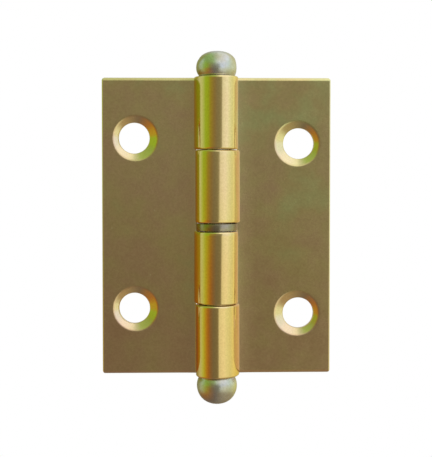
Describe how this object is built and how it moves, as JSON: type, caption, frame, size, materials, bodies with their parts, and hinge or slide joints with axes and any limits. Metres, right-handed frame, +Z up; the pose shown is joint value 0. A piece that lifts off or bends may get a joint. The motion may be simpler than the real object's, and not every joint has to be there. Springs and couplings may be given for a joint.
{
  "type": "butt hinge",
  "caption": "Small door butt hinge, opened flat: two pressed steel leaves with rolled knuckles turning on a ball-ended pin, with countersunk screw holes.",
  "frame": {"origin": "on the pin's axis at the leaves' mid-height, a quarter of a millimetre above the centre of the opened hinge's box", "axes": "+Z up along the pin's axis, X across the two opened leaves with the right leaf on +X, -Y out of the countersunk faces and the barrel, +Y out of the flat back that lies on the door"},
  "size_m": [0.0386, 0.0071, 0.0589],
  "materials": {
    "yellow_zinc_steel": "cold-rolled steel, zinc plated and yellow chromate passivated, satin with iridescent tints",
    "bright_zinc_steel": "steel, bright zinc plated, silver grey, slightly dull"
  },
  "bodies": {
    "left_leaf": {"left_leaf": "yellow_zinc_steel"},
    "right_leaf": {"right_leaf": "yellow_zinc_steel"},
    "pin": {"hinge_pin": "bright_zinc_steel", "lower_ball": "bright_zinc_steel"},
    "ring": {"spacer_ring": "bright_zinc_steel"}
  },
  "joints": [
    {"name": "leaf_swing", "type": "hinge", "parent": "left_leaf", "child": "right_leaf", "pos_m": [0, 0, 0], "axis": [0, 0, -1], "range_deg": [-86, 191]},
    {"name": "pin_spin", "type": "hinge", "parent": "left_leaf", "child": "pin", "pos_m": [0, 0, 0], "axis": [0, 0, 1], "continuous": true},
    {"name": "ring_spin", "type": "hinge", "parent": "left_leaf", "child": "ring", "pos_m": [0, 0, 0], "axis": [0, 0, 1], "continuous": true}
  ]
}
